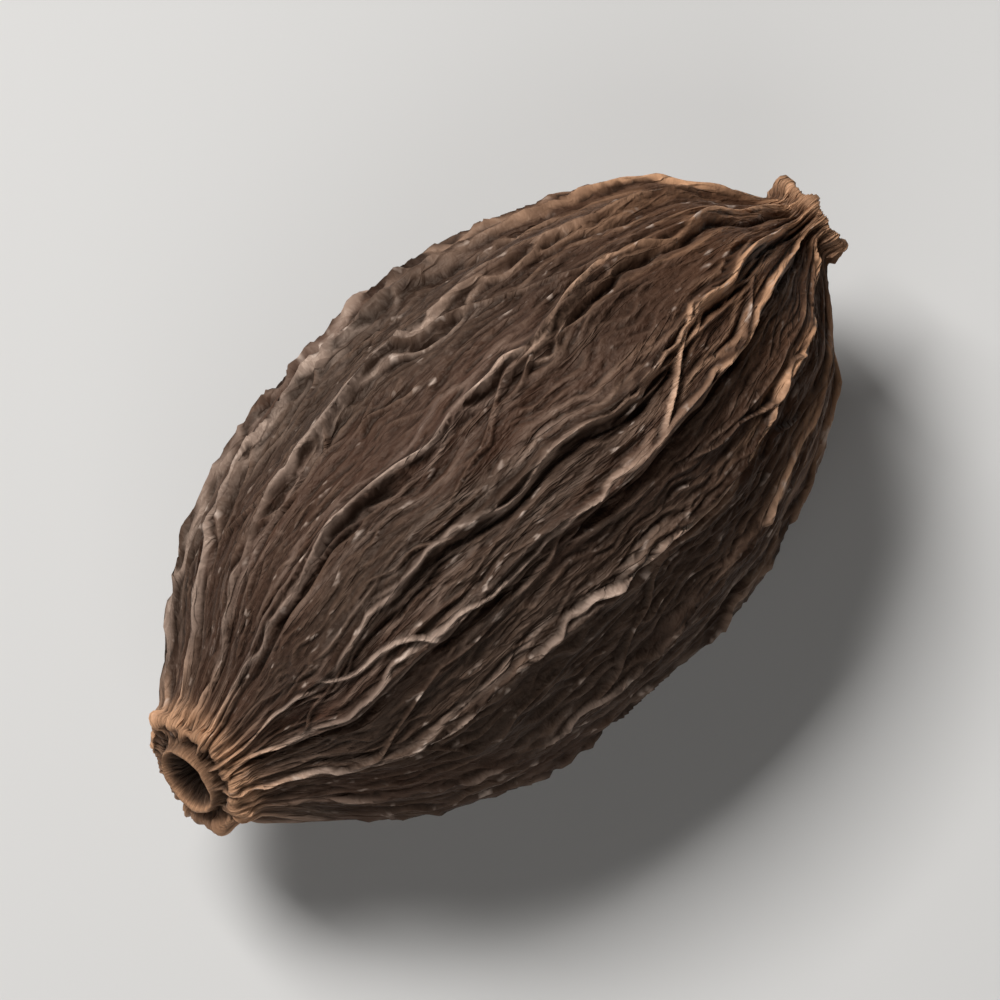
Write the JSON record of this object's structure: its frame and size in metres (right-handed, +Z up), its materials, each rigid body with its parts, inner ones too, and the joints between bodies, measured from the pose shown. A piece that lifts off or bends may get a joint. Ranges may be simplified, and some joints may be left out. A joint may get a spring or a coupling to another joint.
{
  "type": "black cardamom pod",
  "caption": "Whole dried black cardamom pod lying on its side: a dark, ribbed, wrinkled capsule with a stem ring at one end and a withered collar at the other.",
  "frame": {"origin": "on the surface that the pod lies on, under the middle of its box", "axes": "+Z up; +X along the pod's long axis, from the stem ring to the withered collar"},
  "size_m": [0.032, 0.0182, 0.0175],
  "materials": {
    "husk": "dry, wrinkled, satin husk"
  },
  "bodies": {
    "root": {"pod": "husk"}
  },
  "joints": []
}
